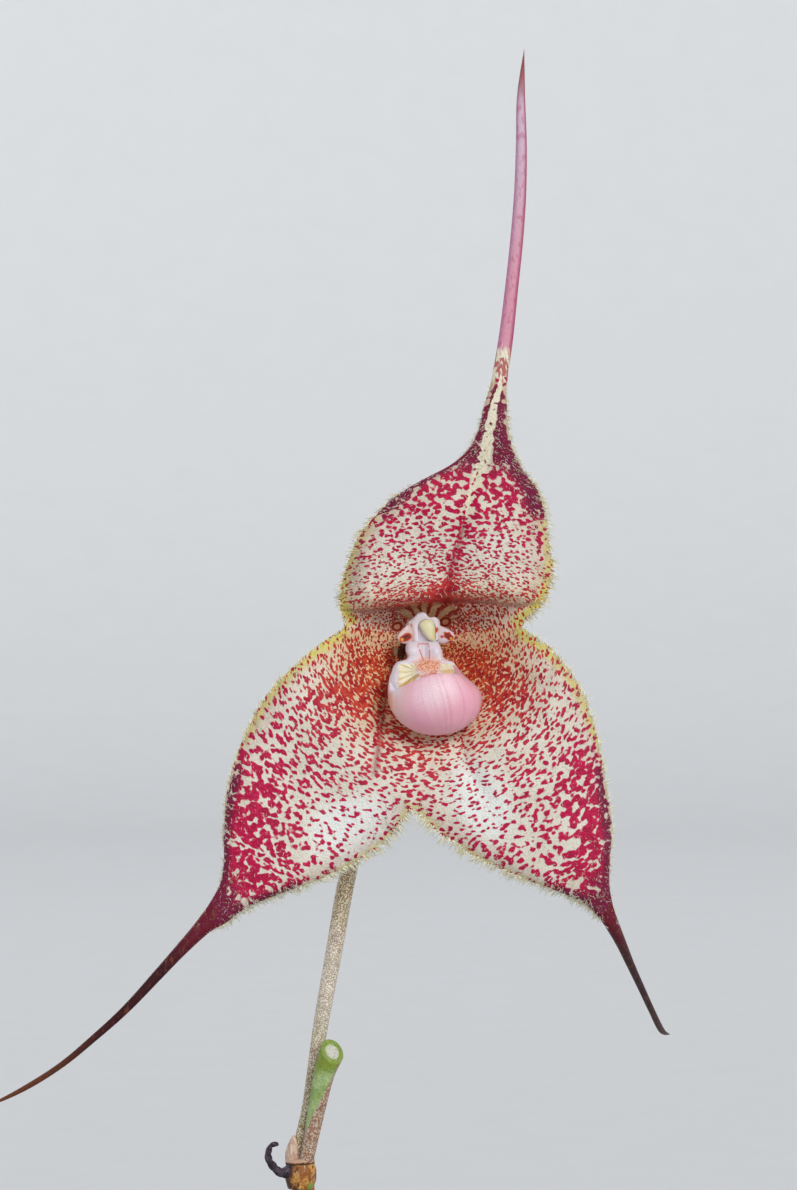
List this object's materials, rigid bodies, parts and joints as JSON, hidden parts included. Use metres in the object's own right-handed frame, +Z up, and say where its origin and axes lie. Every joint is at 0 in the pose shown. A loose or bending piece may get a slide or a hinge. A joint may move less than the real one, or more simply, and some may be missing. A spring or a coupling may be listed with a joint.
{
  "type": "potted dracula ligiae orchid",
  "caption": "Plain clay pot with a tuft of strap leaves and an erect stem that holds a crimson-spotted, fringed, long-tailed orchid bloom with a pink shell-like lip.",
  "frame": {"origin": "centre of the flat underside of the pot", "axes": "+Z up along the pot's axis, the bloom faces -Y, +X to the viewer's right as the viewer faces the bloom"},
  "size_m": [0.1754, 0.1363, 0.3014],
  "materials": {
    "clay": "matte",
    "mix": "matte",
    "sheath": "matte",
    "leaf": "satin",
    "stem": "satin",
    "dry_bract": "matte",
    "cut_green": "satin",
    "sepal": "satin",
    "petal": "satin",
    "column": "satin",
    "anther": "satin",
    "lip": "satin"
  },
  "bodies": {
    "root": {"pot": "clay", "potting_mix": "mix", "leaf_stem_1": "sheath", "leaf_stem_2": "sheath", "leaf_stem_3": "sheath", "leaf_stem_4": "sheath", "leaf_stem_5": "sheath", "leaf_stem_6": "sheath", "leaf_stem_7": "sheath", "leaf_1": "leaf", "leaf_2": "leaf", "leaf_3": "leaf", "leaf_4": "leaf", "leaf_5": "leaf", "leaf_6": "leaf", "leaf_7": "leaf", "peduncle": "stem", "node_bract": "dry_bract", "withered_curl": "dry_bract", "flower_stalk": "stem", "cut_stump": "cut_green", "sepals": "sepal", "petal_left": "petal", "petal_right": "petal", "column": "column", "anther_cap": "anther", "lip": "lip"}
  },
  "joints": []
}
